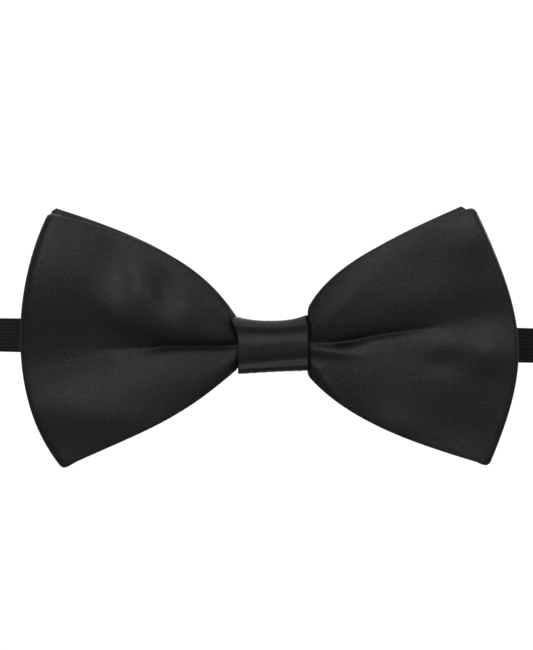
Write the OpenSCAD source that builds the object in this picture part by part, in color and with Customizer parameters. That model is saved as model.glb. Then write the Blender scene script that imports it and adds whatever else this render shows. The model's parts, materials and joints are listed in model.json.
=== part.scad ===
/* [Bow] */
// Width of the bow from wing edge to wing edge
bow_w = 120; // [110:1:130]
// Height of the bow at its tallest corners
bow_h = 64; // [60:1:70]
// How far the front wings bulge in front of their roots
wing_bulge = 10; // [6:0.5:12]
// Thickness of the woven lining inside each wing
lining_t = 0.5; // [0.3:0.1:0.8]

/* [Knot] */
// Width of the knot between the two wings
knot_w = 16.5; // [14:0.5:18]
// Depth of the knot from its front to its flat back
knot_d = 10; // [10:0.5:12]
// Highest point of the knot above the origin
knot_top = 6.7; // [6.6:0.1:7.5]
// Lowest point of the knot below the origin
knot_bottom = 6.4; // [6.2:0.1:7.5]
// Thickness of the satin that wraps the knot
wrap_t = 0.8; // [0.6:0.1:0.8]

/* [Neck band] */
// Width of the ribbed elastic band
band_w = 8; // [7:0.5:8]
// Thickness of the ribbed elastic band
band_t = 0.9; // [0.8:0.1:0.9]
// Radius of the flat front stretch of the loop
front_r = 130; // [120:5:150]
// Angle that each half of the front stretch turns through
front_turn = 24; // [20:1:28]
// Radius of the loop's two sides
side_r = 38; // [34:1:42]
// Height of the band's middle where it passes through the knot
band_z = 1.6; // [0:0.1:1.6]
// Lean of the loop, the left side higher than the right
band_tilt = 1.2; // [0:0.1:1.5]

/* [Clasp] */
// Radius of the wire that the clasp's bars are made of
bar_r = 0.7; // [0.6:0.1:0.8]
// Distance of the hook's own bar to the left of the middle
hook_x = -4; // [-6:1:-2]
// Distance from the hook's bar to the middle of the ring's catch bar
hook_reach = 17; // [15:1:20]
// Length of the ring between the middles of its two bars
ring_l = 9; // [8:1:12]
// Place of the slider on the left half of the back
slider_x = -26; // [-28:1:-24]
// Length of the slider along the band
slider_l = 11.2; // [10:0.2:12]

/* [Hidden] */
$fn = 48;

satin = "#292929";
lining = "#d8d4c8";
elastic = "#1c1c1c";
thread = "#202020";
metal = "#b8bcc0";

// Layers of the knot from its flat back at y = 0 to its front
knot_lining_t = 0.4;
thread_t = 0.4;
band_play = 0.4;
band_y = -(wrap_t + band_play + band_t / 2);
bundle_back = band_y - band_t / 2 - thread_t;
bundle_front = -knot_d + wrap_t + knot_lining_t + thread_t;
layer_split = -5;
bundle_top = knot_top - wrap_t - knot_lining_t - thread_t;
bundle_bottom = -knot_bottom + wrap_t + knot_lining_t + thread_t;
bundle_round = 1;
corner = 0.02;

// Wings: a root beside the knot, then two long edges and a bowed outer edge.
// Each edge is a cubic curve: its start, two handles and its end, as [x, z] of a bow of the drawn size.
drawn_w = 120;
drawn_h = 64;
root_gap = 0.35;
root_x = knot_w / 2 + root_gap;
curve_steps = 14;
lining_inset = 0.93;
layer_gap = 0.2;
front_wing_back_slope = 0.076;
rear_wing_front_slope = 0.072;
rear_wing_back_slope = 0.06;
shoulder_share = 0.8;
tip_share = 0.55;
wing_tip = 62;
front_lining_y = [bundle_front + 1.6, bundle_front - 2.6];
rear_lining_y = [bundle_back - 1.2, bundle_back - 4.9];

front_left = [
    [[-8.6, 5.5], [-16, 19.5], [-29.5, 26.5], [-54, 32.2]],
    [[-55.2, 31.2], [-63, 14], [-65, -12.5], [-51.7, -29.2]],
    [[-50.5, -29.6], [-30.5, -20], [-24.5, -19], [-8.6, -5]]
];
front_right = [
    [[8.6, 8.2], [12.5, 19.5], [30, 27.5], [48, 33.8]],
    [[49.2, 33], [61.5, 6], [63, -4], [52.7, -28.2]],
    [[51.5, -29.2], [32, -23.5], [18, -18], [8.6, -7]]
];
rear_left = [
    [[-8.6, 5], [-16, 19], [-29.5, 26.5], [-53, 33.6]],
    [[-53, 33.6], [-60, 14], [-62, -11], [-50, -28.5]],
    [[-50, -28.5], [-30, -19], [-24, -18], [-8.6, -4.5]]
];
rear_right = [
    [[8.6, 7.5], [12.5, 19], [29, 27.5], [45.8, 34.2]],
    [[45.8, 34.2], [58, 8], [60, -6], [51, -27.5]],
    [[51, -27.5], [32, -22.5], [18, -17], [8.6, -6.5]]
];

// Loop of the neck band, in the band's own frame
band_lead_past_knot = 0.75;
band_lead = knot_w / 2 + band_lead_past_knot;
side_x = band_lead + (front_r - side_r) * sin(front_turn);
back_y = band_y + front_r + side_r - (front_r - side_r) * cos(front_turn);
fit = 0.05;
fold_r = bar_r + fit + band_t / 2;
bar_y = back_y - fold_r;
return_y = back_y - 2 * fold_r;
front_y = band_y + front_r;
side_y = back_y - side_r;
fold_steps = 16;
side_steps = 36;
front_steps = 10;

// Clasp
catch_x = hook_x + hook_reach;
ring_x = catch_x + ring_l;
ring_tail = 10;
edge_play = 0.4;
rail_z = band_w / 2 + edge_play + bar_r;
plate_t = 0.9;
plate_gap = 0.35;
plate_y = bar_y + bar_r + plate_gap;
plate_w = 7;
shoulder_play = 0.5;
shoulder_l = 2.5;
neck_l = 6;
shoulder_x = hook_x + fold_r + band_t / 2 + shoulder_play;
lip_play = 1;
lip_bend = 0.6;
lip_x = catch_x + bar_r + lip_play;
lip_drop = 1.2;

// Slider: its outer bars lie outside the band and its middle bar lies inside it
slider_sheet = 0.6;
slider_gap = 0.1;
slider_bar_w = 1.6;
cheek_t = 1.1;
outer_bar_y = back_y + band_t / 2 + slider_gap;
middle_bar_y = back_y - band_t / 2 - slider_gap - band_t - fit - slider_sheet / 2;
end_fold_in = slider_sheet / 2 + fit;
end_strand_y = middle_bar_y - end_fold_in - band_t / 2;
end_fold_x = slider_x - slider_bar_w / 2 + slider_sheet / 2;
end_fold_r = end_fold_in + band_t / 2;
end_strand_l = 3;
end_tail_l = 7;

function bezier(c, t) =
    pow(1 - t, 3) * c[0] + 3 * pow(1 - t, 2) * t * c[1] + 3 * (1 - t) * t * t * c[2] + pow(t, 3) * c[3];
function curve(c) = [for (i = [0:curve_steps]) bezier(c, i / curve_steps)];
function outline(edges) = [
    for (edge = edges) for (p = curve(edge)) [p.x * bow_w / drawn_w, p.y * bow_h / drawn_h]
];
function toward_root(points, side) = [
    for (p = points) [side * root_x + (p.x - side * root_x) * lining_inset, p.y * lining_inset]
];

// Plate of a flat outline in the x-z plane, as deep as the whole bow
module plate(points) {
    depth = 40;
    rotate([90, 0, 0]) linear_extrude(depth) polygon(points);
}

// Prism that stands on a shape drawn in plan, taller than the bow
module plan(side, shape) {
    height = 90;
    translate([0, 0, -height / 2])
        linear_extrude(height)
            polygon([for (p = shape) [side * p.x, p.y]]);
}

// Plan shapes of the right-hand wings; side -1 mirrors them
function front_plan() = concat(
    [[root_x, layer_split - layer_gap], [root_x, bundle_front]],
    curve([[root_x, bundle_front], [20, bundle_front - wing_bulge * shoulder_share],
           [44, bundle_front - wing_bulge], [wing_tip, bundle_front - wing_bulge * tip_share]]),
    [[wing_tip, layer_split - layer_gap - (wing_tip - root_x) * front_wing_back_slope]]
);
function rear_plan() = [
    [root_x, bundle_back],
    [root_x, layer_split],
    [wing_tip, layer_split - (wing_tip - root_x) * rear_wing_front_slope],
    [wing_tip, bundle_back - (wing_tip - root_x) * rear_wing_back_slope]
];
// Thin strip in plan from the root to near the wing's edge
function strip_plan(y) = [
    [root_x, y[0] - lining_t / 2],
    [root_x, y[0] + lining_t / 2],
    [wing_tip, y[1] + lining_t / 2],
    [wing_tip, y[1] - lining_t / 2]
];

// A satin wing with the slot that its lining lies in
module wing(edges, side, shape, strip) {
    color(satin)
        difference() {
            intersection() {
                plate(outline(edges));
                plan(side, shape);
            }
            intersection() {
                plate(toward_root(outline(edges), side));
                plan(side, strip);
            }
        }
}

module wing_lining(edges, side, strip) {
    color(lining)
        intersection() {
            plate(toward_root(outline(edges), side));
            plan(side, strip);
        }
}

module front_left_wing() { wing(front_left, -1, front_plan(), strip_plan(front_lining_y)); }
module front_right_wing() { wing(front_right, 1, front_plan(), strip_plan(front_lining_y)); }
module rear_left_wing() { wing(rear_left, -1, rear_plan(), strip_plan(rear_lining_y)); }
module rear_right_wing() { wing(rear_right, 1, rear_plan(), strip_plan(rear_lining_y)); }
module front_left_lining() { wing_lining(front_left, -1, strip_plan(front_lining_y)); }
module front_right_lining() { wing_lining(front_right, 1, strip_plan(front_lining_y)); }
module rear_left_lining() { wing_lining(rear_left, -1, strip_plan(rear_lining_y)); }
module rear_right_lining() { wing_lining(rear_right, 1, strip_plan(rear_lining_y)); }

// Bar of the given y and z limits along x, with rounded long edges
module rounded_bar(length, y0, y1, z0, z1, r) {
    translate([-length / 2, 0, 0])
        rotate([90, 0, 90])
            linear_extrude(length)
                rounded_section(y0, y1, z0, z1, r, r);
}

// Rectangle with one corner radius at its low-x side and another at its high-x side
module rounded_section(x0, x1, y0, y1, r0, r1) {
    translate([x0, y0 + r0]) square([x1 - x0, y1 - y0 - 2 * r0]);
    translate([x0 + r0, y0]) square([x1 - x0 - r0 - r1, y1 - y0]);
    for (y = [y0 + r0, y1 - r0]) translate([x0 + r0, y]) circle(r0);
    if (r1 < r0) translate([x1 - r0, y0 + r1]) square([r0, y1 - y0 - 2 * r1]);
    for (y = [y0 + r1, y1 - r1]) translate([x1 - r1, y]) circle(r1);
}

module front_bow_waist() {
    color(satin) rounded_bar(knot_w, bundle_front, layer_split, bundle_bottom, bundle_top, bundle_round);
}

module rear_bow_waist() {
    color(satin) rounded_bar(knot_w, layer_split, bundle_back, bundle_bottom, bundle_top, bundle_round);
}

// Three turns of thread drawn tight round both waists
module gathering_thread() {
    turn_w = 0.5;
    turn_step = 1.2;
    color(thread)
        for (x = [-turn_step, 0, turn_step])
            translate([x, 0, 0])
                difference() {
                    rounded_bar(turn_w, bundle_front - thread_t, bundle_back + thread_t,
                                bundle_bottom - thread_t, bundle_top + thread_t, bundle_round + thread_t);
                    rounded_bar(2 * turn_w, bundle_front, bundle_back, bundle_bottom, bundle_top,
                                bundle_round);
                }
}

module knot_wrap() {
    front_round = 2.6;
    back_round = 0.6;
    color(satin)
        translate([-knot_w / 2, 0, 0])
            rotate([90, 0, 90])
                linear_extrude(knot_w)
                    difference() {
                        rounded_section(-knot_d, 0, -knot_bottom, knot_top, front_round, back_round);
                        rounded_section(-knot_d + wrap_t, -wrap_t, -knot_bottom + wrap_t,
                                        knot_top - wrap_t, front_round - wrap_t, corner);
                    }
}

// Stay inside the knot, open at the back where the band passes
module knot_lining() {
    inner_round = bundle_round + thread_t;
    open_back = band_y - band_t / 2;
    color(lining)
        translate([-knot_w / 2, 0, 0])
            rotate([90, 0, 90])
                linear_extrude(knot_w)
                    difference() {
                        rounded_section(-knot_d + wrap_t, open_back, -knot_bottom + wrap_t,
                                        knot_top - wrap_t, inner_round + knot_lining_t, corner);
                        rounded_section(bundle_front - thread_t, 1, bundle_bottom - thread_t,
                                        bundle_top + thread_t, inner_round, corner);
                    }
}

// Short hand stitches that close the wrap along its underside
module knot_stitches() {
    stitch_l = 1.6;
    stitch_r = 0.18;
    row_y = -2;
    color(thread)
        for (x = [-6:3:6])
            translate([x - stitch_l / 2, row_y, -knot_bottom - stitch_r])
                rotate([0, 90, 0])
                    cylinder(h = stitch_l, r = stitch_r);
}

// Everything on the band leans with the loop
module band_frame() {
    translate([0, 0, band_z]) rotate([0, band_tilt, 0]) children();
}

// Points of an arc in plan; last = 0 leaves out its end, where the next arc begins
function arc(x, y, r, from, to, steps, last = 1) = [
    for (i = [0:steps - 1 + last])
        let (a = from + (to - from) * i / steps)
            [x + r * cos(a), y + r * sin(a)]
];
function reverse(v) = [for (i = [len(v) - 1:-1:0]) v[i]];

// One side of the band, offset from its middle: tail, ring fold, right side, front, left side, hook fold
function band_side(offset) = concat(
    [[ring_x + ring_tail, return_y - offset]],
    arc(ring_x, bar_y, fold_r + offset, 270, 90, fold_steps),
    arc(side_x, side_y, side_r + offset, 90, -90 + front_turn, side_steps, 0),
    arc(band_lead, front_y, front_r + offset, -90 + front_turn, -90, front_steps),
    arc(-band_lead, front_y, front_r + offset, -90, -90 - front_turn, front_steps, 0),
    arc(-side_x, side_y, side_r + offset, 270 - front_turn, 90, side_steps),
    arc(hook_x, bar_y, fold_r + offset, 90, -90, fold_steps)
);

module neck_band() {
    color(elastic)
        band_frame()
            translate([0, 0, -band_w / 2])
                linear_extrude(band_w)
                    polygon(concat(band_side(band_t / 2), reverse(band_side(-band_t / 2))));
}

// Thread bars that hold the band to the rear waist, beside the gathering thread
module band_tack_stitches() {
    tack_w = 0.6;
    tack_h = 5;
    tack_z = -1;
    color(thread)
        for (x = [-6, -4.5, 4.5, 6])
            translate([x - tack_w / 2, bundle_back, tack_z])
                cube([tack_w, thread_t, tack_h]);
}

// Doubled strand of the band between the slider and the hook
module band_return() {
    left = slider_x + end_strand_l;
    color(elastic)
        band_frame()
            translate([0, 0, -band_w / 2])
                linear_extrude(band_w)
                    polygon([[left, end_strand_y - band_t / 2],
                             [hook_x, return_y - band_t / 2],
                             [hook_x, return_y + band_t / 2],
                             [left, end_strand_y + band_t / 2]]);
}

// End of the band, folded round the slider's middle bar
module band_end_fold() {
    function side(offset) = concat(
        [[slider_x + end_strand_l, end_strand_y - offset]],
        arc(end_fold_x, middle_bar_y, end_fold_r + offset, 270, 90, fold_steps),
        [[end_fold_x + end_tail_l, middle_bar_y + end_fold_r + offset]]
    );
    color(elastic)
        band_frame()
            translate([0, 0, -band_w / 2])
                linear_extrude(band_w)
                    polygon(concat(side(band_t / 2), reverse(side(-band_t / 2))));
}

// Block of dense stitching between two layers of band
module bartack(x, y0, y1) {
    tack_l = 1.8;
    tack_margin = 0.8;
    tack_h = band_w - 2 * tack_margin;
    color(thread)
        band_frame()
            translate([x, y0, -tack_h / 2])
                cube([tack_l, y1 - y0, tack_h]);
}

module ring_bartack() {
    past_bar = 3;
    bartack(ring_x + past_bar, return_y + band_t / 2, back_y - band_t / 2);
}

module slider_bartack() {
    past_middle = 1.1;
    bartack(slider_x + past_middle, end_strand_y + band_t / 2, middle_bar_y + end_fold_in);
}

// Round bar along z, as tall as the clasp's rails are apart
module clasp_bar(x) {
    translate([x, bar_y, -rail_z]) cylinder(h = 2 * rail_z, r = bar_r);
}

module ring() {
    color(metal)
        band_frame() {
            clasp_bar(catch_x);
            clasp_bar(ring_x);
            for (z = [-rail_z, rail_z]) {
                translate([catch_x, bar_y, z]) rotate([0, 90, 0]) cylinder(h = ring_l, r = bar_r);
                for (x = [catch_x, ring_x]) translate([x, bar_y, z]) sphere(bar_r);
            }
        }
}

// Flat hook: a bar for the band, a plate that passes over the ring's catch bar, and a lip
module hook() {
    rail_l = shoulder_x - hook_x + plate_t;
    outer_z = rail_z + bar_r;
    color(metal)
        band_frame() {
            clasp_bar(hook_x);
            for (z = [-rail_z, rail_z]) {
                translate([hook_x, bar_y, z]) rotate([0, 90, 0]) cylinder(h = rail_l, r = bar_r);
                translate([hook_x, bar_y, z]) sphere(bar_r);
            }
            translate([shoulder_x, bar_y - bar_r, -outer_z])
                cube([plate_t, plate_y + plate_t - bar_y + bar_r, 2 * outer_z]);
            translate([shoulder_x, plate_y + plate_t, 0])
                rotate([90, 0, 0])
                    linear_extrude(plate_t)
                        polygon([[0, -outer_z], [shoulder_l, -outer_z], [neck_l, -plate_w / 2],
                                 [lip_x - lip_bend - shoulder_x, -plate_w / 2],
                                 [lip_x - lip_bend - shoulder_x, plate_w / 2],
                                 [neck_l, plate_w / 2], [shoulder_l, outer_z], [0, outer_z]]);
            translate([lip_x - lip_bend, plate_y - lip_bend, -plate_w / 2])
                rotate_extrude(angle = 90)
                    translate([lip_bend, 0])
                        square([plate_t, plate_w]);
            translate([lip_x, plate_y - lip_bend - lip_drop, -plate_w / 2])
                cube([plate_t, lip_drop, plate_w]);
        }
}

// Slider: two cheeks above and below the band carry two outer bars and a middle bar
module slider() {
    half = slider_l / 2;
    inner_z = band_w / 2 + edge_play;
    outer_bar_w = 1.4;
    cheek_end = 1;
    cheek_foot = 1.5;
    low = middle_bar_y - slider_sheet / 2;
    high = outer_bar_y + slider_sheet;
    color(metal)
        band_frame()
            translate([slider_x, 0, 0]) {
                for (z = [-inner_z - cheek_t, inner_z])
                    translate([0, 0, z])
                        linear_extrude(cheek_t)
                            polygon([[-half, high], [half, high], [half, high - cheek_end],
                                     [cheek_foot, low], [-cheek_foot, low], [-half, high - cheek_end]]);
                for (x = [-half, half - outer_bar_w])
                    translate([x, outer_bar_y, -inner_z])
                        cube([outer_bar_w, slider_sheet, 2 * inner_z]);
                translate([-slider_bar_w / 2 + slider_sheet / 2, middle_bar_y, -inner_z])
                    cylinder(h = 2 * inner_z, r = slider_sheet / 2);
                translate([slider_bar_w / 2 - slider_sheet / 2, middle_bar_y, -inner_z])
                    cylinder(h = 2 * inner_z, r = slider_sheet / 2);
                translate([-slider_bar_w / 2 + slider_sheet / 2, low, -inner_z])
                    cube([slider_bar_w - slider_sheet, slider_sheet, 2 * inner_z]);
            }
}

front_left_wing();
front_right_wing();
rear_left_wing();
rear_right_wing();
front_left_lining();
front_right_lining();
rear_left_lining();
rear_right_lining();
front_bow_waist();
rear_bow_waist();
gathering_thread();
knot_wrap();
knot_lining();
knot_stitches();
neck_band();
band_tack_stitches();
band_return();
band_end_fold();
ring_bartack();
slider_bartack();
ring();
hook();
slider();
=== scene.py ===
import json
import math

import bpy
import numpy as np
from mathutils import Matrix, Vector


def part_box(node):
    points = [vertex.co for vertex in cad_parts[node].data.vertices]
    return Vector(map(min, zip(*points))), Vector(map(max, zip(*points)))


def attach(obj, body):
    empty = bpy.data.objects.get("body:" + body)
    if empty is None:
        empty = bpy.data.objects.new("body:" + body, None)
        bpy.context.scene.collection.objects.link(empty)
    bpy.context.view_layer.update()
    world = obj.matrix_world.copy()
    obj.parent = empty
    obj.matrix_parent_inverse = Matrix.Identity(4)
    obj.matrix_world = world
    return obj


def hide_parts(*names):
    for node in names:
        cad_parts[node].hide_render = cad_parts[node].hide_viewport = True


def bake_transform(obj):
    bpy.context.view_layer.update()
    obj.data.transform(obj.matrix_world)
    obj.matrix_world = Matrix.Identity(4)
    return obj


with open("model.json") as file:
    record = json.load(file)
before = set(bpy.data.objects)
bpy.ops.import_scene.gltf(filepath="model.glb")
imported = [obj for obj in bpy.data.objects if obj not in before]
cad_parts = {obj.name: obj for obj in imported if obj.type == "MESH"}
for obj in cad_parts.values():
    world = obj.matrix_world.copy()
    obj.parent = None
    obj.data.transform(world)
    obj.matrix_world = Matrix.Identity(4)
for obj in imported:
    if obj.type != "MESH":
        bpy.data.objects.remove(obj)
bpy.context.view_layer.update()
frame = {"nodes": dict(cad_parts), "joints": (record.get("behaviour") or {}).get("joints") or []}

MM = 0.001

# ---------------------------------------------------------------- sizes, in millimetres
# Everything below is in millimetres; meshes are scaled to metres as they are made.
JOINTS = {j["name"]: j for j in frame["joints"]}


def box_mm(node):
    low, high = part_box(node)
    return np.array(low) / MM, np.array(high) / MM


knot_low, knot_high = box_mm("knot_wrap")
waist_low, waist_high = box_mm("front_bow_waist")
rear_waist_low, rear_waist_high = box_mm("rear_bow_waist")
band_low, band_high = box_mm("neck_band")
KNOT_HALF = knot_high[0]
ROOT_X = JOINTS["front_right_flex"]["pos_m"][0] / MM
FRONT_ROOT_Y = JOINTS["front_right_flex"]["pos_m"][1] / MM
REAR_ROOT_Y = JOINTS["rear_right_flex"]["pos_m"][1] / MM
LAYER_SPLIT = waist_high[1]

WAIST_HALF = 5.0           # half height of a wing where it passes into the knot
PANEL_HALF = 0.32          # half the thickness of a satin panel, two layers and a lining
REAR_PANEL_HALF = 0.28
LINING_HALF = 0.05
LINING_GAP = 1.2           # the interlining is trimmed back this far from the gathers
LOOP_LENGTH = 49.0         # nominal, from the root of a wing to its fold
THREAD_R = 0.13
STITCH_R = 0.09

# Cloth as cut, width and length in metres, and the area where the cut isn't a rectangle, in square metres
FRONT_CUT, FRONT_AREA = (0.064, 0.108), 0.0052
REAR_CUT, REAR_AREA = (0.063, 0.104), 0.0050
KNOT_CUT = (0.0165, 0.042)
KNOT_LINING_CUT = (0.0156, 0.034)

# Outlines of the wings in x, z: each edge is a cubic curve, root to corner or corner to corner
FRONT_EDGES = {
    "left": {
        "top": [(-8.0, 5.6), (-16.2, 19.6), (-29.4, 26.6), (-53.6, 32.1)],
        "top_corner": (-54.9, 32.5),
        "outer": [(-55.2, 31.2), (-63.0, 14.0), (-65.0, -12.4), (-51.9, -29.0)],
        "bottom_corner": (-51.3, -30.0),
        "bottom": [(-8.0, -4.9), (-24.4, -19.2), (-30.4, -20.2), (-50.3, -29.5)],
    },
    "right": {
        "top": [(8.0, 7.9), (12.6, 19.6), (30.0, 27.5), (47.6, 33.4)],
        "top_corner": (48.8, 33.9),
        "outer": [(49.3, 32.8), (61.6, 6.2), (62.9, -3.8), (52.8, -28.2)],
        "bottom_corner": (52.4, -29.3),
        "bottom": [(8.0, -6.6), (17.9, -17.9), (32.1, -23.3), (51.3, -28.9)],
    },
}
REAR_EDGES = {
    "left": {
        "top": [(-8.0, 5.2), (-16.0, 19.2), (-29.0, 26.2), (-53.1, 33.7)],
        "top_corner": (-53.8, 34.0),
        "outer": [(-53.9, 33.4), (-60.4, 14.0), (-62.4, -11.0), (-50.3, -28.2)],
        "bottom_corner": (-50.0, -28.8),
        "bottom": [(-8.0, -4.6), (-24.0, -18.4), (-30.0, -19.4), (-49.4, -28.4)],
    },
    "right": {
        "top": [(8.0, 7.4), (12.6, 19.0), (29.0, 26.8), (46.0, 34.2)],
        "top_corner": (46.6, 34.5),
        "outer": [(46.8, 34.0), (58.6, 8.0), (60.6, -5.0), (51.0, -27.4)],
        "bottom_corner": (50.8, -28.0),
        "bottom": [(8.0, -6.2), (17.6, -17.2), (31.6, -22.4), (50.1, -27.8)],
    },
}


# ---------------------------------------------------------------- curves and grids
def bezier(points, t):
    t = np.asarray(t, float)[..., None]
    p = [np.array(q, float) for q in points]
    if len(p) == 3:
        return (1 - t) ** 2 * p[0] + 2 * (1 - t) * t * p[1] + t**2 * p[2]
    return (1 - t) ** 3 * p[0] + 3 * (1 - t) ** 2 * t * p[1] + 3 * (1 - t) * t**2 * p[2] + t**3 * p[3]


def by_length(line, share):
    """Points at these shares of a polyline's length."""
    step = np.linalg.norm(np.diff(line, axis=0), axis=1)
    along = np.concatenate([[0], np.cumsum(step)]) / step.sum()
    return np.stack([np.interp(share, along, line[:, k]) for k in range(line.shape[1])], -1)


def smooth(a, b, v):
    t = np.clip((v - a) / (b - a), 0, 1)
    return t * t * (3 - 2 * t)


def mound(x, z, at, size, turn=0.0):
    """A round hill of height 1, size its two half widths, turned by turn degrees."""
    c, s = math.cos(math.radians(turn)), math.sin(math.radians(turn))
    u = ((x - at[0]) * c + (z - at[1]) * s) / size[0]
    v = (-(x - at[0]) * s + (z - at[1]) * c) / size[1]
    return np.exp(-(u * u + v * v))


def outer_line(edges):
    """The wing's outer edge with its two rounded corners, from the top edge to the bottom edge."""
    t = np.linspace(0, 1, 9)
    main = bezier(edges["outer"], np.linspace(0, 1, 120))
    first = bezier([edges["top"][3], edges["top_corner"], edges["outer"][0]], t)
    last = bezier([edges["outer"][3], edges["bottom_corner"], edges["bottom"][3]], t)
    return np.concatenate([first[:-1], main, last[1:]])


def patch(edges, s, t):
    """Coons patch in x, z. s runs from root to outer edge and t from bottom (-1) to top (1)."""
    share = (1 - t) / 2
    top, bottom = bezier(edges["top"], s), bezier(edges["bottom"], s)
    outer = by_length(outer_line(edges), share)
    top_root, bottom_root = np.array(edges["top"][0]), np.array(edges["bottom"][0])
    top_end, bottom_end = np.array(edges["top"][3]), np.array(edges["bottom"][3])
    root = top_root * (1 - share)[:, None] + bottom_root * share[:, None]
    s2, w = s[:, None, None], share[None, :, None]
    corners = (
        (1 - s2) * (1 - w) * top_root
        + (1 - s2) * w * bottom_root
        + s2 * (1 - w) * top_end
        + s2 * w * bottom_end
    )
    ruled = (1 - w) * top[:, None] + w * bottom[:, None]
    return ruled + (1 - s2) * root[None] + s2 * outer[None] - corners


# ---------------------------------------------------------------- meshes
def new_object(name, points, faces, uv=None):
    mesh = bpy.data.meshes.new(name)
    vertices = [tuple(p) for p in np.asarray(points) * MM]
    mesh.from_pydata(vertices, [], [tuple(int(i) for i in f) for f in faces])
    mesh.validate()
    if uv is not None:
        layer = mesh.uv_layers.new(name="UVMap")
        loops = np.zeros(len(mesh.loops), np.int32)
        mesh.loops.foreach_get("vertex_index", loops)
        layer.data.foreach_set("uv", (np.asarray(uv)[loops] * MM).astype(np.float32).ravel())
    mesh.polygons.foreach_set("use_smooth", [True] * len(mesh.polygons))
    mesh.update()
    made = bpy.data.objects.new(name, mesh)
    bpy.context.scene.collection.objects.link(made)
    return made


def grid_normals(mid):
    du = np.gradient(mid, axis=0)
    dv = np.gradient(mid, axis=1)
    n = np.cross(du, dv)
    return n / np.maximum(np.linalg.norm(n, axis=2, keepdims=True), 1e-9)


def flat_tube(name, mid, half, across, round_steps=3):
    """A flat sewn tube of fabric round a middle surface: two faces, two rounded edges and closed ends.
    across is the real width of the fabric, for its UV map."""
    rows, cols = mid.shape[:2]
    n = grid_normals(mid)
    turn = [math.pi * (k + 1) / (round_steps + 1) for k in range(round_steps)]

    def edge(j, inner):
        out = mid[:, j] - mid[:, inner]
        out -= n[:, j] * (out * n[:, j]).sum(1, keepdims=True)
        out /= np.maximum(np.linalg.norm(out, axis=1, keepdims=True), 1e-9)
        return [mid[:, j] + half * (math.cos(a) * n[:, j] + math.sin(a) * out) for a in turn]

    ring = [mid[:, j] + half * n[:, j] for j in range(cols)]
    ring += edge(cols - 1, cols - 2)
    ring += [mid[:, j] - half * n[:, j] for j in reversed(range(cols))]
    ring += edge(0, 1)[::-1]
    points = np.stack(ring, 1)
    count = points.shape[1]
    along = np.concatenate([[0], np.cumsum(np.linalg.norm(np.diff(mid[:, cols // 2], axis=0), axis=1))])
    v = np.concatenate([np.linspace(-0.5, 0.5, cols), [0.5] * round_steps,
                        np.linspace(0.5, -0.5, cols), [-0.5] * round_steps]) * across
    uv = np.stack(np.broadcast_arrays(along[:, None], v[None]), -1).reshape(-1, 2)
    k = np.arange(count)
    faces = []
    for i in range(rows - 1):
        a, b = i * count + k, i * count + (k + 1) % count
        faces.extend(np.stack([a, b, b + count, a + count], 1).tolist())
    facing = 2 * cols + round_steps - 1       # the point behind point 0
    for i, flip in ((0, False), (rows - 1, True)):
        cap = [[j, j + 1, facing - 1 - j, facing - j] for j in range(cols - 1)]
        cap.append(list(range(cols - 1, cols + round_steps + 1)))
        cap.append([0, facing] + list(range(facing + 1, count)))
        for f in cap:
            f = [i * count + q for q in f]
            faces.append(f if flip else f[::-1])
    return new_object(name, points.reshape(-1, 3), faces, uv=uv)


# ---------------------------------------------------------------- relief of the wings
def base_front(reach, t):
    """How far the front panel stands in front of the wing's root, without its folds."""
    rise = 6.0 * (1 - np.exp(-reach / 24.0)) - 0.2 * smooth(44, 56, reach)
    top_edge = (0.4 * np.exp(-reach / 9.0) + 1.0) * np.clip(t, 0, 1) ** 7
    bottom_edge = (1.6 * np.exp(-reach / 9.0) + 0.5) * np.clip(-t, 0, 1) ** 4
    return rise - top_edge - bottom_edge


def crease(z, centre, depth, above, below, sharp, rise=1.0):
    """A valley along centre, with its own half width above and below it; sharp 1 is a cusp and 2 is round.
    rise is how much of the depth the cloth below the valley climbs back."""
    far = np.abs(z - centre) / np.where(z > centre, above, below)
    fall = np.exp(-(far**sharp))
    return -depth * np.where(z > centre, fall, 1 - rise * (1 - fall))


def overhang(z, centre, top, slope):
    """The upper puff leans out down to the crease, and the cloth below slowly falls back again."""
    return slope * np.clip(top - z, 0, top - centre) * (1 - 0.6 * smooth(0, 26, centre - z))


def soft_relief(relief, x, z):
    """The relief averaged over a height of 1.4 mm, so that no crease is tighter than the panel."""
    steps = ((-0.7, 1), (-0.35, 2), (0.0, 3), (0.35, 2), (0.7, 1))
    total = sum(weight * relief(x, z + dz) for dz, weight in steps)
    return total / sum(weight for _, weight in steps)


def knot_flare(z, left):
    """How far the knot's edge stands out at its top, on the left or on the right."""
    return np.where(left, 1.6 * smooth(1.2, 7.0, z), -0.8 * smooth(4.0, 7.0, z))


def knot_groove(x, z, side):
    """The wing dives behind the knot's edge."""
    away = side * x - KNOT_HALF - knot_flare(z, side < 0)
    return -0.9 * np.exp(-((np.maximum(away, 0) / 0.6) ** 2))


def pleats(x, z, side):
    """Small folds that fan out of the knot and die away within a centimetre."""
    reach = np.maximum(side * x - ROOT_X, 0)
    turn = np.arctan2(z, reach + 5.0)
    return 0.18 * np.exp(-((reach / 6.5) ** 2)) * np.cos(9.0 * turn + 0.8 * side)


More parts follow.
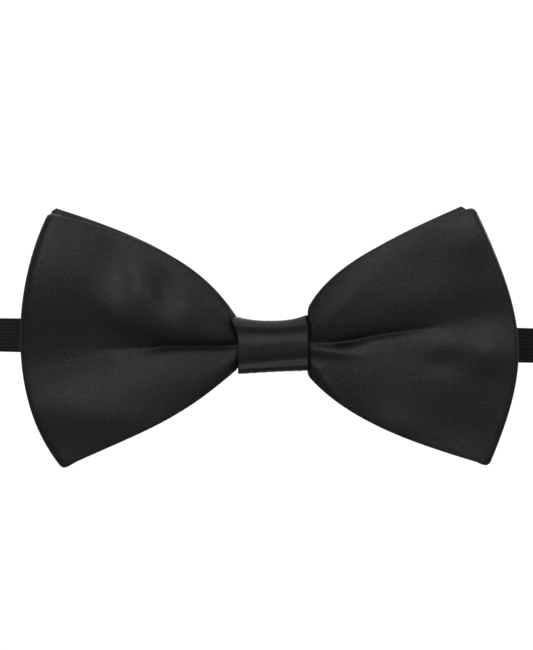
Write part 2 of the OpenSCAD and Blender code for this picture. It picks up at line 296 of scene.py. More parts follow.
def left_relief(x, z):
    reach = -x - ROOT_X
    centre = np.interp(reach, [0, 18, 36, 52], [0.3, 0.0, -3.6, -8.5])
    relief = crease(
        z,
        centre,
        depth=np.interp(reach, [-4, 0, 10, 20, 34, 52], [2.0, 2.0, 2.5, 3.4, 4.4, 5.2]),
        above=np.interp(reach, [0, 10, 18, 26, 36, 52], [1.0, 1.5, 2.2, 5.2, 12.0, 15.5]),
        below=np.interp(reach, [0, 10, 20, 36, 52], [2.6, 5.5, 8.0, 9.0, 9.0]),
        sharp=np.interp(reach, [0, 16, 26, 40], [1.0, 1.2, 1.8, 2.2]),
        rise=np.interp(reach, [10, 40], [0.8, 0.4]),
    )
    lean = 0.085 * smooth(-2, 24, reach) * (1 - 0.25 * smooth(24, 44, reach))
    relief += overhang(z, centre, np.interp(reach, [10, 45], [21, 34]), lean)
    slit = 1 - smooth(14, 24, reach)
    relief += slit * crease(z, centre, 1.6, 0.7, 0.7, 1.3)
    upper = smooth(12, 19, reach) * (1 - smooth(26, 38, reach))
    relief += upper * crease(z, np.interp(reach, [12, 20, 36], [0.3, 1.4, 5.2]), 0.8, 2.6, 3.5, 1.3)
    lower = smooth(15, 22, reach) * (1 - smooth(26, 38, reach))
    relief += lower * crease(z, np.interp(reach, [15, 36], [-0.2, -0.7]), 0.6, 1.2, 1.2, 1.4)
    relief += 0.3 * mound(x, z, (-49, 20), (9, 7), 12)
    relief += -1.3 * mound(x, z, (-39, 20), (4.5, 8), 10)
    relief += 1.0 * mound(x, z, (-32.0, 13), (3.8, 7), 20)
    relief += -1.1 * mound(x, z, (-26.3, 14), (2.6, 6), 20)
    relief += 0.9 * mound(x, z, (-21.0, 8), (3.6, 6), 20)
    relief += 0.5 * mound(x, z, (-38, -18), (14, 5), -12)
    relief += -1.3 * mound(x, z, (-56, -24), (7, 8), -30)
    return relief + pleats(x, z, -1) + knot_groove(x, z, -1)


def right_relief(x, z):
    reach = x - ROOT_X
    centre = np.interp(reach, [0, 8, 18, 30, 38, 52], [0.7, 1.2, 2.9, 4.4, 5.2, 6.5])
    relief = crease(
        z,
        centre,
        depth=np.interp(reach, [-4, 0, 10, 20, 30, 40, 52], [2.0, 2.0, 2.4, 2.5, 2.2, 1.6, 1.0]),
        above=np.interp(reach, [0, 10, 20, 36, 52], [1.2, 2.2, 3.8, 6.0, 8.0]),
        below=np.interp(reach, [0, 10, 20, 36, 52], [2.0, 4.2, 7.0, 9.0, 7.0]),
        sharp=np.interp(reach, [0, 16, 26, 38], [1.0, 1.1, 1.4, 2.0]),
        rise=0.5,
    )
    relief += -0.03 * np.maximum(centre - z, 0)
    relief += overhang(z, centre, 20, 0.015 * smooth(-2, 24, reach) * (1 - smooth(28, 48, reach)))
    slit = smooth(5, 9, reach) * (1 - smooth(20, 34, reach))
    relief += slit * crease(z, centre, 1.5, 0.7, 0.6, 1.3)
    relief += -0.9 * mound(x, z, (18.5, 0.9), (4.0, 0.9), 4)
    relief += 0.7 * mound(x, z, (13.5, -1.2), (6.0, 1.2), -7)
    relief += 1.5 * mound(x, z, (52, -1.5), (5.0, 5.0))
    relief += -0.8 * mound(x, z, (10.2, -7.4), (1.1, 1.6), -35)
    relief += 0.5 * mound(x, z, (11.0, -6.6), (0.9, 3.0), -35)
    relief += 0.6 * mound(x, z, (16, 9.5), (9, 3.5), 48)
    relief += 0.5 * mound(x, z, (12.5, -8.6), (5, 1.1), -52)
    relief += 0.5 * mound(x, z, (42, 0.5), (6, 3), 5)
    relief += -0.3 * mound(x, z, (41, -4.5), (4, 2.5), 0)
    relief += 0.6 * mound(x, z, (29, -19.5), (6, 4), -20)
    relief += -0.8 * mound(x, z, (46, -20), (9, 6), -30)
    relief += 0.9 * mound(x, z, (48, 26), (5, 7), -30)
    relief += -0.4 * mound(x, z, (38, 19), (7, 9), -30)
    return relief + pleats(x, z, 1) + knot_groove(x, z, 1)


def loop_grid(edges, side, front_of, back_of, fold_x, half, cols):
    """Middle surface of a folded loop: the front panel out to the fold and the back panel home again."""
    rows, start = 96, -0.075      # start is a share of the loop, and lies inside the knot
    fold_share = fold_x / LOOP_LENGTH
    flat = np.linspace(start, 1 - fold_share, rows)
    turn = np.linspace(0, math.pi / 2, 10)[1:]
    s = np.concatenate([flat, 1 - fold_share * (1 - np.sin(turn))])
    t = np.linspace(-1, 1, cols)
    inner = np.clip(s, 0, 1)
    grid = patch(edges, inner * (1 - half / LOOP_LENGTH), t)
    height = np.linalg.norm(grid[:, -1] - grid[:, 0], axis=1)
    shrink = 1 - 2 * half / np.maximum(height, 4 * half)
    middle = grid.mean(axis=1, keepdims=True)
    grid = middle + (grid - middle) * shrink[:, None, None]
    lead = np.minimum(s, 0) * LOOP_LENGTH
    x = grid[..., 0] + side * lead[:, None]
    tuck = 1 - smooth(0.12, 0.6, side * x - KNOT_HALF)
    half_height = np.abs(grid[:, [0, -1], 1]).max(axis=1)
    z = grid[..., 1] * (1 - tuck * (1 - WAIST_HALF / half_height)[:, None])
    away = (1 - s)[:, None] * LOOP_LENGTH * np.ones_like(t)[None]
    roll = 1 - np.sqrt(np.clip(1 - np.clip(1 - away / fold_x, 0, 1) ** 2, 0, 1))
    front, back = front_of(x, z, t[None]), back_of(x, z, t[None])
    gap = back - front
    gap = (gap + np.sqrt(gap * gap + 1.0)) / 4
    front = back - 2 * gap
    y_front = front + gap * roll
    y_back = back - gap * roll
    top = np.stack([x, y_front, z], -1)
    under = np.stack([x, y_back, z], -1)[:-1][::-1]
    return np.concatenate([top, under])


def front_wing(side_name):
    side = -1 if side_name == "left" else 1
    edges = FRONT_EDGES[side_name]
    relief = left_relief if side_name == "left" else right_relief

    def front(x, z, t):
        reach = np.maximum(side * x - ROOT_X, -6)
        out = base_front(np.maximum(reach, 0), t) + soft_relief(relief, x, z)
        settle = smooth(-3.0, 3.0, reach)
        waist = -1.4 * np.abs(t) ** 2.6
        return FRONT_ROOT_Y + 0.35 - (settle * out + (1 - settle) * waist)

    def back(x, z, t):
        reach = np.maximum(side * x - ROOT_X, 0)
        return LAYER_SPLIT - 0.55 - 0.076 * reach - 0.25 * (1 - np.abs(t) ** 2) * smooth(0, 12, reach)

    return edges, side, front, back


def rear_wing(side_name):
    side = -1 if side_name == "left" else 1
    edges = REAR_EDGES[side_name]

    def front(x, z, t):
        reach = np.maximum(side * x - ROOT_X, 0)
        return LAYER_SPLIT + 0.45 - 0.072 * reach + 0.1 * np.abs(t) ** 2

    def back(x, z, t):
        reach = np.maximum(side * x - ROOT_X, 0)
        return REAR_ROOT_Y - 0.45 - 0.06 * reach - 0.15 * np.abs(t) ** 2

    return edges, side, front, back


# ---------------------------------------------------------------- materials
def node_material(name):
    material = bpy.data.materials.new(name)
    material.use_nodes = True
    tree = material.node_tree
    tree.nodes.clear()
    out = tree.nodes.new("ShaderNodeOutputMaterial")
    shader = tree.nodes.new("ShaderNodeBsdfPrincipled")
    tree.links.new(shader.outputs["BSDF"], out.inputs["Surface"])
    return material, tree, shader


def add(tree, kind, values=None, **settings):
    made = tree.nodes.new(kind)
    for key, value in settings.items():
        setattr(made, key, value)
    for key, value in (values or {}).items():
        made.inputs[key].default_value = value
    return made


def noise(tree, vector, scale, detail=2.0, rough=0.5):
    made = add(tree, "ShaderNodeTexNoise", {"Scale": scale, "Detail": detail, "Roughness": rough})
    tree.links.new(vector, made.inputs["Vector"])
    return made.outputs["Fac"]


def ramp(tree, value, low, high, a, b):
    """Value from a to b as the input goes from low to high."""
    made = add(tree, "ShaderNodeMapRange", {"From Min": low, "From Max": high, "To Min": a, "To Max": b})
    tree.links.new(value, made.inputs["Value"])
    return made.outputs["Result"]


def math_node(tree, operation, a, b=None):
    made = add(tree, "ShaderNodeMath", operation=operation)
    for k, value in enumerate((a, b)):
        if value is None:
            continue
        if isinstance(value, (int, float)):
            made.inputs[k].default_value = value
        else:
            tree.links.new(value, made.inputs[k])
    return made.outputs[0]


def mix_color(tree, fac, a, b):
    made = add(tree, "ShaderNodeMix", data_type="RGBA")
    tree.links.new(fac, made.inputs["Factor"])
    made.inputs["A"].default_value = (*a, 1)
    made.inputs["B"].default_value = (*b, 1)
    return made.outputs["Result"]


def bump(tree, height, distance, strength, normal=None):
    made = add(tree, "ShaderNodeBump", {"Distance": distance, "Strength": strength})
    tree.links.new(height, made.inputs["Height"])
    if normal is not None:
        tree.links.new(normal, made.inputs["Normal"])
    return made.outputs["Normal"]


def satin_material():
    """Black satin: long floats along the fabric, a fine mottled grain and slow changes of sheen."""
    material, tree, shader = node_material("satin")
    rough = 0.5
    place = add(tree, "ShaderNodeTexCoord")
    cloth, solid = place.outputs["UV"], place.outputs["Object"]
    floats = {"Scale": 900.0, "Distortion": 1.2, "Detail": 1.0, "Detail Scale": 2.0}
    weave = add(tree, "ShaderNodeTexWave", floats, wave_type="BANDS", bands_direction="DIAGONAL")
    tree.links.new(cloth, weave.inputs["Vector"])
    grain = noise(tree, solid, 2200.0, 2.0, 0.6)
    slub = noise(tree, solid, 700.0, 2.0, 0.5)
    cloud = noise(tree, solid, 90.0, 2.0, 0.5)
    mottle = ramp(tree, grain, 0.3, 0.7, 0, 1)
    colour = mix_color(tree, mottle, (0.002, 0.002, 0.0021), (0.016, 0.016, 0.0163))
    tree.links.new(colour, shader.inputs["Base Color"])
    fine = ramp(tree, slub, 0.3, 0.7, rough - 0.03, rough + 0.03)
    slow = ramp(tree, cloud, 0.3, 0.7, -0.03, 0.03)
    tree.links.new(math_node(tree, "ADD", fine, slow), shader.inputs["Roughness"])
    n = bump(tree, grain, 0.00010, 0.72)
    n = bump(tree, weave.outputs["Fac"], 0.00002, 0.35, n)
    n = bump(tree, slub, 0.00012, 0.2, n)
    tree.links.new(n, shader.inputs["Normal"])
    shader.inputs["IOR"].default_value = 1.42
    shader.inputs["Sheen Weight"].default_value = 0.05
    shader.inputs["Sheen Roughness"].default_value = 0.45
    shader.inputs["Sheen Tint"].default_value = (0.8, 0.8, 0.82, 1)
    return material


def elastic_material():
    """Ribbed elastic: matt black yarn crossed by fine bars."""
    material, tree, shader = node_material("elastic")
    place = add(tree, "ShaderNodeTexCoord")
    spacing = {"Scale": 420.0, "Distortion": 0.6, "Detail": 1.0}
    bars = add(tree, "ShaderNodeTexWave", spacing, bands_direction="X")
    tree.links.new(place.outputs["UV"], bars.inputs["Vector"])
    yarn = noise(tree, place.outputs["Object"], 1800.0, 3.0, 0.6)
    mottle = ramp(tree, yarn, 0.3, 0.7, 0, 1)
    colour = mix_color(tree, mottle, (0.002, 0.002, 0.0021), (0.006, 0.006, 0.0063))
    tree.links.new(colour, shader.inputs["Base Color"])
    tree.links.new(ramp(tree, yarn, 0.3, 0.7, 0.72, 0.9), shader.inputs["Roughness"])
    n = bump(tree, bars.outputs["Fac"], 0.00008, 0.5)
    n = bump(tree, yarn, 0.00008, 0.5, n)
    tree.links.new(n, shader.inputs["Normal"])
    shader.inputs["IOR"].default_value = 1.38
    shader.inputs["Sheen Weight"].default_value = 0.04
    shader.inputs["Sheen Roughness"].default_value = 0.6
    return material


def lining_material():
    """Undyed plain-woven interlining."""
    material, tree, shader = node_material("lining")
    place = add(tree, "ShaderNodeTexCoord")
    spacing = {"Scale": 330.0, "Distortion": 0.8, "Detail": 1.0}
    warp = add(tree, "ShaderNodeTexWave", spacing, bands_direction="X")
    weft = add(tree, "ShaderNodeTexWave", spacing, bands_direction="Z")
    for wave in (warp, weft):
        tree.links.new(place.outputs["Object"], wave.inputs["Vector"])
    weave = math_node(tree, "MULTIPLY", warp.outputs["Fac"], weft.outputs["Fac"])
    colour = mix_color(tree, weave, (0.46, 0.44, 0.39), (0.68, 0.66, 0.60))
    tree.links.new(colour, shader.inputs["Base Color"])
    fuzz = noise(tree, place.outputs["Object"], 900.0, 3.0, 0.6)
    tree.links.new(ramp(tree, fuzz, 0.3, 0.7, 0.8, 0.95), shader.inputs["Roughness"])
    tree.links.new(bump(tree, weave, 0.0001, 0.6), shader.inputs["Normal"])
    return material


def thread_material():
    """Twisted black sewing thread."""
    material, tree, shader = node_material("thread")
    place = add(tree, "ShaderNodeTexCoord")
    twist = add(tree, "ShaderNodeTexWave", {"Scale": 1500.0, "Distortion": 1.0}, bands_direction="DIAGONAL")
    tree.links.new(place.outputs["Object"], twist.inputs["Vector"])
    fuzz = noise(tree, place.outputs["Object"], 3000.0, 2.0, 0.6)
    colour = mix_color(tree, twist.outputs["Fac"], (0.010, 0.010, 0.0105), (0.034, 0.034, 0.036))
    tree.links.new(colour, shader.inputs["Base Color"])
    tree.links.new(ramp(tree, fuzz, 0.3, 0.7, 0.42, 0.6), shader.inputs["Roughness"])
    tree.links.new(bump(tree, twist.outputs["Fac"], 0.00006, 0.6), shader.inputs["Normal"])
    return material


def metal_material():
    """Nickel plate with faint brush marks and duller patches."""
    material, tree, shader = node_material("metal")
    place = add(tree, "ShaderNodeTexCoord")
    stretch = add(tree, "ShaderNodeMapping", {"Scale": (1.0, 1.0, 12.0)})
    tree.links.new(place.outputs["Object"], stretch.inputs["Vector"])
    brush = noise(tree, stretch.outputs["Vector"], 700.0, 4.0, 0.6)
    stain = noise(tree, place.outputs["Object"], 160.0, 3.0, 0.5)
    duller = ramp(tree, stain, 0.35, 0.7, 0, 1)
    colour = mix_color(tree, duller, (0.46, 0.455, 0.44), (0.38, 0.375, 0.365))
    tree.links.new(colour, shader.inputs["Base Color"])
    brushed = ramp(tree, brush, 0.3, 0.7, 0.24, 0.34)
    stained = ramp(tree, stain, 0.35, 0.7, 0.0, 0.08)
    tree.links.new(math_node(tree, "ADD", brushed, stained), shader.inputs["Roughness"])
    tree.links.new(bump(tree, brush, 0.00002, 0.15), shader.inputs["Normal"])
    shader.inputs["Metallic"].default_value = 1.0
    return material


SATIN = satin_material()
ELASTIC = elastic_material()
LINING = lining_material()
THREAD = thread_material()
METAL = metal_material()


def dress(piece, material, slot, *nodes):
    piece.data.materials.clear()
    piece.data.materials.append(material)
    if nodes:
        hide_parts(*nodes)
    return piece


# ---------------------------------------------------------------- wings
def make_wing(prefix, side_name, wing, half, fold_x, cols, flat):
    edges, side, front, back = wing(side_name)
    mid = loop_grid(edges, side, front, back, fold_x, half, cols=cols)
    if side > 0:
        mid = mid[:, ::-1]
    body = f"{prefix}_{side_name}"
    satin = flat_tube(f"{body}_satin", mid, half, across=flat[0] / MM)
    dress(satin, SATIN, "satin", f"{body}_wing")
    hem = cols // 24
    clear = np.flatnonzero(np.abs(mid[:, mid.shape[1] // 2, 0]) > KNOT_HALF + LINING_GAP)
    inner = mid[clear[0]:clear[-1] + 1, hem:-hem]
    lining = flat_tube(f"{body}_interlining", inner, LINING_HALF, across=flat[0] / MM, round_steps=1)
    dress(lining, LINING, "lining", f"{body}_lining")
    for piece in (satin, lining):
        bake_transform(piece)


for side_name in ("left", "right"):
    fold_x = 1.5 if side_name == "left" else 1.0
    make_wing("front", side_name, front_wing, PANEL_HALF, fold_x, 97, FRONT_CUT)
    make_wing("rear", side_name, rear_wing, REAR_PANEL_HALF, 1.1, 49, REAR_CUT)


# ---------------------------------------------------------------- knot and waists
def ring_section(y0, y1, z0, z1, front_round, back_round, count):
    """Rounded rectangle in y, z, counter-clockwise from the middle of its front, as count points."""
    line = []

    def corner(y, z, r, start):
        for k in range(9):
            a = math.radians(start + 90 * k / 8)
            line.append((y + r * math.cos(a), z + r * math.sin(a)))

    line.append((y0, (z0 + z1) / 2))
    corner(y0 + front_round, z0 + front_round, front_round, 180)
    corner(y1 - back_round, z0 + back_round, back_round, 270)
    corner(y1 - back_round, z1 - back_round, back_round, 0)
    corner(y0 + front_round, z1 - front_round, front_round, 90)
    line.append((y0, (z0 + z1) / 2))
    return by_length(np.array(line), np.linspace(0, 1, count + 1)[:-1])


def ring_faces(count, pairs, flip=False):
    """Quads between pairs of rings of count points each; a pair is two ring numbers."""
    k = np.arange(count)
    faces = []
    for first, second in pairs:
        a, b = first * count, second * count
        quads = np.stack([a + k, b + k, b + (k + 1) % count, a + (k + 1) % count], 1)
        faces.extend((quads[:, ::-1] if flip else quads).tolist())
    return faces


def knot_bottom_rise(u):
    """How far the knot's underside sits above its CAD height; it climbs to the right, as in the photo."""
    return 0.12 + 0.4 * u - 0.1 * u * u


def knot_sleeve(name, low, high, thick, half_x, outer_rounds, inner_rounds, flat):
    """A sleeve round the waists, waisted at its middle, with soft pulls across its front.
    flat is the width and length of its cloth."""
    count, steps = 220, 41
    outer = ring_section(low[1], high[1], low[2], high[2], *outer_rounds, count)
    inner = ring_section(low[1] + thick, high[1] - thick, low[2] + thick, high[2] - thick,
                         *inner_rounds, count)
    share = np.linspace(-1, 1, steps)
    lip = [math.pi * (k + 1) / 6 for k in range(5)]
    rows = []
    depth = knot_high[1] - knot_low[1]

    def relief(points, u):
        y, z = points[:, 0], points[:, 1]
        facing = smooth(0.35, 0.95, -(y - knot_high[1]) / depth)
        top_rise = 1.1 * abs(u + 0.08) ** 2.4 - 0.5
        above, below = top_rise * z / knot_high[2], knot_bottom_rise(u) * z / knot_low[2]
        z_new = z + np.where(z > 0, above, below)
        swell = 0.25 + 0.15 * (1 - u * u)
        folds = (
            (0.2, 4.8, 1.2),
            (-0.2, 2.9 + 0.2 * u, 1.4),
            (0.25, 0.6 + 0.4 * u, 2.2),
            (-0.6, -3.7 + 0.5 * u, 1.25),
        )
        for height, middle, width in folds:
            swell = swell + height * np.exp(-(((z - middle) / width) ** 2))
        y_new = y - facing * swell
        very_front = smooth(0.72, 0.95, -(y - knot_high[1]) / depth)
        flare = math.copysign(1, u) * knot_flare(z, u < 0) * smooth(0.3, 1, abs(u))
        return np.stack([u * half_x + flare * very_front, y_new, z_new], -1)

    for face, other, way in ((outer, inner, 1), (inner, outer, -1)):
        for u in share[::way]:
            rows.append(relief(face, u))
        for a in lip:
            w = (1 - math.cos(a)) / 2
            edge = relief(face * (1 - w) + other * w, way)
            edge[:, 0] += way * math.sin(a) * thick / 2
            rows.append(edge)
    points = np.stack(rows)
    total = len(points)
    faces = ring_faces(count, [(i, (i + 1) % total) for i in range(total)], flip=True)
    around = np.broadcast_to(np.linspace(0, flat[1] / MM, count)[None], points.shape[:2])
    uv = np.stack([around, points[..., 0]], -1)
    piece = new_object(name, points.reshape(-1, 3), faces, uv=uv.reshape(-1, 2))
    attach(piece, "bow_centre")
    return piece


def knot():
    """The satin wrap and the strip of interlining inside it."""
    satin_t, strip_t, clear, hem = 0.55, 0.15, 0.05, 0.5
    satin = knot_sleeve("knot_satin", knot_low, knot_high, satin_t, KNOT_HALF,
                        outer_rounds=(1.8, 0.7), inner_rounds=(1.2, 0.15), flat=KNOT_CUT)
    dress(satin, SATIN, "satin", "knot_wrap")
    low, high = box_mm("knot_lining")
    strip = knot_sleeve("knot_interlining", low, high - (0, clear, 0), strip_t, KNOT_HALF - hem,
                        outer_rounds=(1.1, 0.3), inner_rounds=(0.9, 0.15), flat=KNOT_LINING_CUT)
    dress(strip, LINING, "lining", "knot_lining")


def waist_satin(name, low, high, node):
    """The gathered middle of a bow: a bundle of small pleats that spreads a little at both ends."""
    count, steps, pleats_round = 160, 21, 22
    inset_y, inset_z, rounding, overhang_x = 0.15, 0.2, 0.9, 0.4
    ring = ring_section(low[1] + inset_y, high[1] - inset_y, low[2] + inset_z, high[2] - inset_z,
                        rounding, rounding, count)
    centre = ring.mean(axis=0)
    turn = np.linspace(0, 2 * math.pi, count, endpoint=False)
    rows = []
    for u in np.linspace(-1, 1, steps):
        pleat = 1 + 0.03 * np.cos(pleats_round * turn) * (0.4 + abs(u))
        part = centre + (ring - centre) * pleat[:, None]
        x = np.full((count, 1), u * (KNOT_HALF + overhang_x))
        rows.append(np.concatenate([x, part], 1))
    points = np.stack(rows)
    faces = ring_faces(count, [(i, i + 1) for i in range(steps - 1)], flip=True)
    faces.append(list(range(count)))
    faces.append(list(range(steps * count - 1, (steps - 1) * count - 1, -1)))
    uv = np.stack([points[..., 0], np.broadcast_to(turn * 4, points.shape[:2])], -1)
    piece = new_object(name, points.reshape(-1, 3), faces, uv=uv.reshape(-1, 2))
    dress(piece, SATIN, "satin", node)
    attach(piece, "bow_centre")


def thread_tubes(name, paths, radius, body, node, across=None, sides=6):
    """Sewing thread along these paths, in place of a plain CAD node. across is any way that the
    thread never runs in; without it, one is chosen from how each path starts."""
    points, faces = [], []
    for path in paths:
        path = np.asarray(path, float)
        along = np.gradient(path, axis=0)
        along /= np.linalg.norm(along, axis=1, keepdims=True)
        runs_through = abs(along[0][1]) > 0.9
        first_way = np.cross(along, across or ((0, 0, 1) if runs_through else (0, 1, 0)))
        first_way /= np.linalg.norm(first_way, axis=1, keepdims=True)
        second_way = np.cross(along, first_way)
        base = len(points)
        for p, a, b in zip(path, first_way, second_way):
            for q in range(sides):
                turn = math.tau * q / sides
                points.append(p + radius * (math.cos(turn) * a + math.sin(turn) * b))
        for k in range(len(path) - 1):
            last, first = base + k * sides, base + (k + 1) * sides
            for q in range(sides):
                after = (q + 1) % sides
                faces.append([last + q, last + after, first + after, first + q])
        faces.append([base + q for q in reversed(range(sides))])
        faces.append([len(points) - sides + q for q in range(sides)])
    piece = new_object(name, points, faces)
    dress(piece, THREAD, "thread", node)
    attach(piece, body)


def hem_stitches():
    """Small slip stitches, sunk almost flush, that close the wrap along its underside near the back."""
    stitch_l, pitch, first_x = 1.1, 2.2, -6.6
    row_y, slant, sunk, bow = -1.5, 0.35, 0.08, 0.04
    paths = []
    for x0 in np.arange(first_x, -first_x + 0.1, pitch):
        a = np.linspace(0, math.pi, 9)
        x = x0 + stitch_l / 2 * np.cos(a)
        z = knot_low[2] + knot_bottom_rise(x / KNOT_HALF) + sunk - bow * np.sin(a)
        paths.append(np.stack([x, row_y + slant * np.cos(a), z], -1))
    thread_tubes("hem_stitches", paths, STITCH_R, "bow_centre", "knot_stitches")


def gathering_turns():
    """One thread wound seven times round both waists, under the knot."""
    turns, per_turn, half_x = 7, 60, 1.2
    inset_y, inset_z, rounding = 0.02, 0.07, 1.0
    ring = ring_section(waist_low[1] + inset_y, rear_waist_high[1] - inset_y,
                        waist_low[2] + inset_z, waist_high[2] - inset_z, rounding, rounding, per_turn)
    x = np.linspace(-half_x, half_x, turns * per_turn)
    path = np.stack([x, np.tile(ring[:, 0], turns), np.tile(ring[:, 1], turns)], -1)
    thread_tubes("gathering_turns", [path], THREAD_R, "bow_centre", "gathering_thread", across=(1, 0, 0))


waist_satin("front_waist_satin", waist_low, waist_high, "front_bow_waist")
waist_satin("rear_waist_satin", rear_waist_low, rear_waist_high, "rear_bow_waist")
gathering_turns()
knot()
hem_stitches()


# ---------------------------------------------------------------- neck band
HOOK = np.array(JOINTS["hook_swing"]["pos_m"]) / MM
RING = np.array(JOINTS["ring_swing"]["pos_m"]) / MM
TILT_AXIS = np.array(JOINTS["hook_swing"]["axis"])
TILT = math.atan2(TILT_AXIS[0], TILT_AXIS[2])
BAND_Z = HOOK[2] + HOOK[0] / math.cos(TILT) * math.sin(TILT)
BAND_T = 0.9
BAND_W = 8.0
FRONT_Y, BACK_Y = band_low[1] + BAND_T / 2, band_high[1] - BAND_T / 2
FRONT_R, FRONT_TURN, SIDE_R = 130.0, 24.0, 38.0     # radii of the loop, and degrees of its front arcs
LEAD = KNOT_HALF + 0.75                             # the band is straight this far from the middle
SIDE_X = LEAD + (FRONT_R - SIDE_R) * math.sin(math.radians(FRONT_TURN))
HOOK_X, RING_X = HOOK[0] / math.cos(TILT), RING[0] / math.cos(TILT)
BAR_Y = HOOK[1]
FOLD_R = BACK_Y - BAR_Y
RETURN_Y = BAR_Y - FOLD_R
RIBS = 9


def arc(x, y, r, start, end, steps, last=True):
    a = np.radians(np.linspace(start, end, steps + 1))
    line = np.stack([x + r * np.cos(a), y + r * np.sin(a)], 1)
    return line if last else line[:-1]


def tilted(x, y, z):
    """From the band's own plan to the shared frame."""
    return np.stack([x * math.cos(TILT) + z * math.sin(TILT), y,
                     BAND_Z - x * math.sin(TILT) + z * math.cos(TILT)], -1)


def ribbon(name, line, lift=None, lean=None):
    """Ribbed elastic swept along a line in the band's own plan; lift raises it and lean tips it, by x."""
    tangent = np.gradient(line, axis=0)
    tangent /= np.linalg.norm(tangent, axis=1, keepdims=True)
    outward = np.stack([-tangent[:, 1], tangent[:, 0]], 1)
    per_rib, depth, edge_inset = 6, 0.16, 0.22
    across = np.linspace(-1, 1, RIBS * per_rib + 1)
    rib = np.abs(np.cos(across * RIBS * math.pi / 2)) ** 0.6
    face = BAND_T / 2 - depth + depth * rib
    face[[0, -1]] = BAND_T / 2 - edge_inset
    w = np.concatenate([across, across[::-1]]) * BAND_W / 2
    d = np.concatenate([face, -face[::-1]])
    count = len(w)
    tip = np.zeros(len(line)) if lean is None else np.radians(lean(line[:, 0], line[:, 1]))
    up = np.zeros(len(line)) if lift is None else lift(line[:, 0], line[:, 1])
    c, s = np.cos(tip)[:, None], np.sin(tip)[:, None]
    off = d[None] * c - w[None] * s
    z = d[None] * s + w[None] * c + up[:, None]
    x = line[:, 0][:, None] + outward[:, 0][:, None] * off
    y = line[:, 1][:, None] + outward[:, 1][:, None] * off
    points = tilted(x, y, z)
    along = np.concatenate([[0], np.cumsum(np.linalg.norm(np.diff(line, axis=0), axis=1))])
    uv = np.stack(np.broadcast_arrays(along[:, None], w[None]), -1)
    k = np.arange(count)
    faces = []
    for i in range(len(line) - 1):
        a, b = i * count, (i + 1) * count
        faces.extend(np.stack([a + k, a + (k + 1) % count, b + (k + 1) % count, b + k], 1).tolist())
    for i, flip in ((0, True), (len(line) - 1, False)):
        start, end = i * count, (i + 1) * count
        for j in range(count // 2 - 1):
            f = [start + j, start + j + 1, end - 2 - j, end - 1 - j]
            faces.append(f[::-1] if flip else f)
    piece = new_object(name, points.reshape(-1, 3), faces, uv=uv.reshape(-1, 2))
    return dress(piece, ELASTIC, "elastic")


def band_line():
    """Middle of the band in plan: tail, ring fold, right side, front, left side, hook fold."""
    side_y, front_centre = BACK_Y - SIDE_R, FRONT_Y + FRONT_R
    return np.concatenate([
        [[RING_X + 10.0, RETURN_Y]],
        arc(RING_X, BAR_Y, FOLD_R, 270, 90, 20),
        arc(SIDE_X, side_y, SIDE_R, 90, -90 + FRONT_TURN, 60, last=False),
        arc(LEAD, front_centre, FRONT_R, -90 + FRONT_TURN, -90, 30),
        arc(-LEAD, front_centre, FRONT_R, -90, -90 - FRONT_TURN, 30, last=False),
        arc(-SIDE_X, side_y, SIDE_R, 270 - FRONT_TURN, 90, 60),
        arc(HOOK_X, BAR_Y, FOLD_R, 90, -90, 20),
    ])


def band_lift(x, y):
    """The front of the band climbs a little toward both sides."""
    front = 1 - smooth(20, 50, y)
    return 0.35 * smooth(14, 40, np.abs(x)) * front


def band_lean(x, y):
    """Degrees that the front of the band tips by on the left."""
    front = 1 - smooth(24, 60, y)
    return 22.0 * smooth(18, 52, -x) * front


def neck_band():
    """The main strand, with points close enough together for its texture and its tip."""
    line, spacing = band_line(), 2.2
    step = np.linalg.norm(np.diff(line, axis=0), axis=1)
    pieces = [line[0]]
    for a, b, length in zip(line[:-1], line[1:], step):
        parts = max(1, int(length / spacing))
        pieces.extend(a + (b - a) * (q + 1) / parts for q in range(parts))
    piece = ribbon("band_elastic", np.array(pieces), band_lift, band_lean)
    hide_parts("neck_band")
    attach(piece, "bow_centre")


SLIDER_LOW, SLIDER_HIGH = box_mm("slider")
END_LOW, END_HIGH = box_mm("band_end_fold")
SLIDER_X = (SLIDER_LOW[0] + SLIDER_HIGH[0]) / 2
END_STRAND_Y = END_LOW[1] + BAND_T / 2
END_TOP_Y = END_HIGH[1] - BAND_T / 2
END_FOLD_R = (END_TOP_Y - END_STRAND_Y) / 2
END_FOLD_X = END_LOW[0] + END_FOLD_R + BAND_T / 2
STRAND_END = SLIDER_X + 3.0


def band_ends():
    """The folded end on the slider, and the return strand between the hook fold and the slider."""
    fold = ribbon("band_end_elastic", np.concatenate([
        [[STRAND_END, END_STRAND_Y], [STRAND_END - 1.5, END_STRAND_Y]],
        arc(END_FOLD_X, (END_STRAND_Y + END_TOP_Y) / 2, END_FOLD_R, 270, 90, 16),
        [[END_FOLD_X + 3.5, END_TOP_Y], [END_FOLD_X + 7.0, END_TOP_Y]],
    ]))
    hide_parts("band_end_fold")
    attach(fold, "adjuster")
    line = np.linspace((HOOK_X, RETURN_Y), (STRAND_END, END_STRAND_Y), 24)
    strand = ribbon("band_return_elastic", line)
    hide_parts("band_return")
    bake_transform(strand)


def bartack(name, node, body, low_y, high_y):
    """A zigzag bar of thread on both faces of the folded elastic, with the thread that runs through it."""
    low, high = box_mm(node)
    middle = (low[0] + high[0]) / 2 / math.cos(TILT)
    half_w, half_x, count = 2.9, 0.8, 15
    w = np.linspace(-half_w, half_w, count)
    x = middle + half_x * np.where(np.arange(count) % 2, 1, -1)
    paths = [tilted(x, np.full(len(w), y), w) for y in (low_y, high_y)]
    y = np.linspace(low_y, high_y, 3)
    paths += [tilted(np.full(3, xk), y, np.full(3, wk)) for xk, wk in zip(x, w)]
    thread_tubes(name, paths, THREAD_R, body, node)


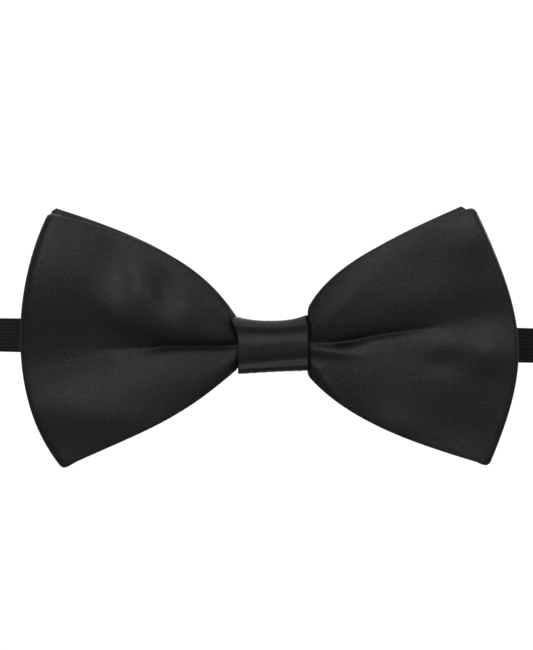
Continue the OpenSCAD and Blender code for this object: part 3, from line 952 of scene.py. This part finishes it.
neck_band()
band_ends()
PROUD, BEDDED = 0.03, 0.1     # how far a row of thread stands above the elastic, or lies in it
bartack("ring_zigzag", "ring_bartack", "bow_centre",
        low_y=RETURN_Y - BAND_T / 2 - PROUD, high_y=BACK_Y + BAND_T / 2 + PROUD)
bartack("slider_zigzag", "slider_bartack", "adjuster",
        low_y=END_STRAND_Y - BAND_T / 2 - PROUD, high_y=END_TOP_Y + BAND_T / 2 - BEDDED)


# ---------------------------------------------------------------- carried-over CAD pieces
for node, material, slot in (
    ("band_tack_stitches", THREAD, "thread"),
    ("ring", METAL, "metal"),
    ("hook", METAL, "metal"),
    ("slider", METAL, "metal"),
):
    dress(frame["nodes"][node], material, slot)


# ---------------------------------------------------------------- stage, light, camera
def plain_floor():
    size, drop = 2.0, 0.30
    mesh = bpy.data.meshes.new("floor")
    corners = [(x * size, y * size, -drop) for x, y in ((-1, -1), (1, -1), (1, 1), (-1, 1))]
    mesh.from_pydata(corners, [], [(0, 1, 2, 3)])
    floor = bpy.data.objects.new("floor", mesh)
    bpy.context.scene.collection.objects.link(floor)
    material, _, shader = node_material("floor")
    shader.inputs["Base Color"].default_value = (0.93, 0.93, 0.93, 1)
    shader.inputs["Roughness"].default_value = 0.9
    shader.inputs["Emission Color"].default_value = (1, 1, 1, 1)
    shader.inputs["Emission Strength"].default_value = 0.65
    floor.data.materials.append(material)
    floor.visible_glossy = floor.visible_diffuse = False


def soft_light(name, at, size, watts, aim=(0, 0, 0)):
    data = bpy.data.lights.new(name, "AREA")
    data.shape = "RECTANGLE"
    data.size, data.size_y = size
    data.energy = watts
    light = bpy.data.objects.new(name, data)
    light.location = at
    light.rotation_mode = "QUATERNION"
    light.rotation_quaternion = (Vector(at) - Vector(aim)).to_track_quat("Z", "Y")
    light.visible_camera = False
    bpy.context.scene.collection.objects.link(light)


def white_world():
    """White all round for the camera, and a softer white as the fill that lights the object."""
    world = bpy.data.worlds.new("studio")
    bpy.context.scene.world = world
    world.use_nodes = True
    tree = world.node_tree
    tree.nodes.clear()
    out = tree.nodes.new("ShaderNodeOutputWorld")
    seen = add(tree, "ShaderNodeBackground", {"Color": (1, 1, 1, 1), "Strength": 1.05})
    fill = add(tree, "ShaderNodeBackground", {"Color": (1, 1, 1, 1), "Strength": 0.20})
    path = tree.nodes.new("ShaderNodeLightPath")
    mix = tree.nodes.new("ShaderNodeMixShader")
    tree.links.new(path.outputs["Is Camera Ray"], mix.inputs["Fac"])
    tree.links.new(fill.outputs[0], mix.inputs[1])
    tree.links.new(seen.outputs[0], mix.inputs[2])
    tree.links.new(mix.outputs[0], out.inputs["Surface"])


def camera():
    """Level with the bow and straight in front of it, a long way off."""
    view_x, view_z, bow_y, distance = -1.6, 5.1, -11.0, 790.0
    seen_height, eye_drop = 157.2, 11.0
    data = bpy.data.cameras.new("camera")
    data.sensor_width = 36.0
    data.lens = data.sensor_width * distance / seen_height
    data.clip_start, data.clip_end = 0.05, 50
    cam = bpy.data.objects.new("camera", data)
    cam.location = Vector((view_x, bow_y - distance, view_z - eye_drop)) * MM
    cam.rotation_euler = (math.radians(90) + math.atan2(eye_drop, distance), 0, 0)
    bpy.context.scene.collection.objects.link(cam)
    bpy.context.scene.camera = cam


plain_floor()
white_world()
soft_light("key", (-0.3, -1.18, 0.56), (1.0, 0.5), 5.6)
soft_light("second", (0.75, -1.0, 0.5), (0.7, 0.5), 2.4)
soft_light("low", (0.2, -1.0, -0.6), (1.0, 0.4), 0.6)
soft_light("top", (0.0, -0.1, 1.1), (0.8, 0.5), 4)
soft_light("back", (0.1, 1.2, 0.8), (2.4, 0.9), 15)
soft_light("back_low", (-0.1, 1.2, -0.7), (2.4, 1.1), 14)
camera()
bpy.context.scene.view_settings.view_transform = "Standard"
